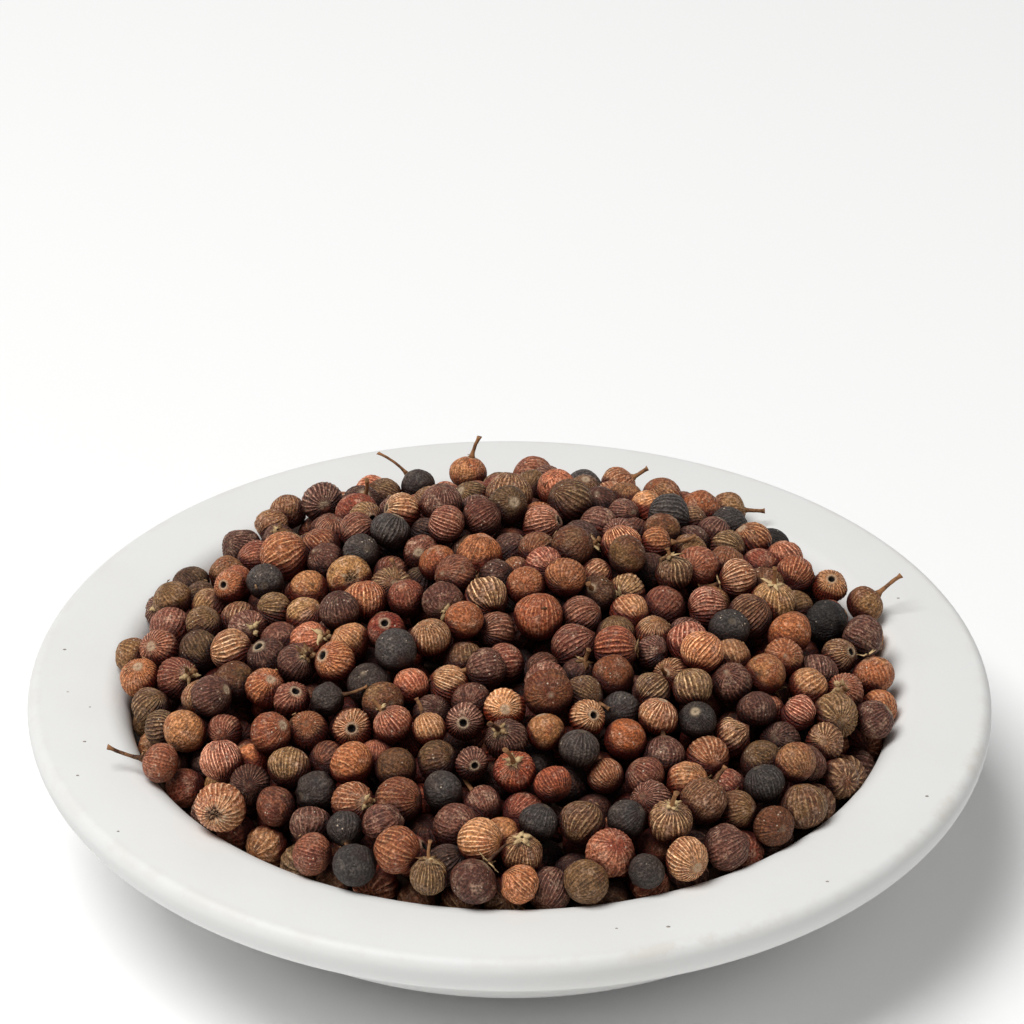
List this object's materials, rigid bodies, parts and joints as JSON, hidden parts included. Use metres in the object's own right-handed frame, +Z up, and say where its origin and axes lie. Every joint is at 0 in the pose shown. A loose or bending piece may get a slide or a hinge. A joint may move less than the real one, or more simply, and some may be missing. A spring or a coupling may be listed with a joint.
{
  "type": "bowl of dried berries",
  "caption": "Shallow white wide-rimmed round dish heaped with small dried ridged embelia berries, some with stalks.",
  "frame": {"origin": "on the standing surface, below the middle of the dish", "axes": "+Z up out of the dish, -Y towards the viewer of the picture, +X to the viewer's right"},
  "size_m": [0.095, 0.095, 0.0301],
  "materials": {
    "bowl": "matte",
    "berry_heap": "matte"
  },
  "bodies": {
    "root": {"bowl": "bowl", "berry_heap": "berry_heap"}
  },
  "joints": []
}
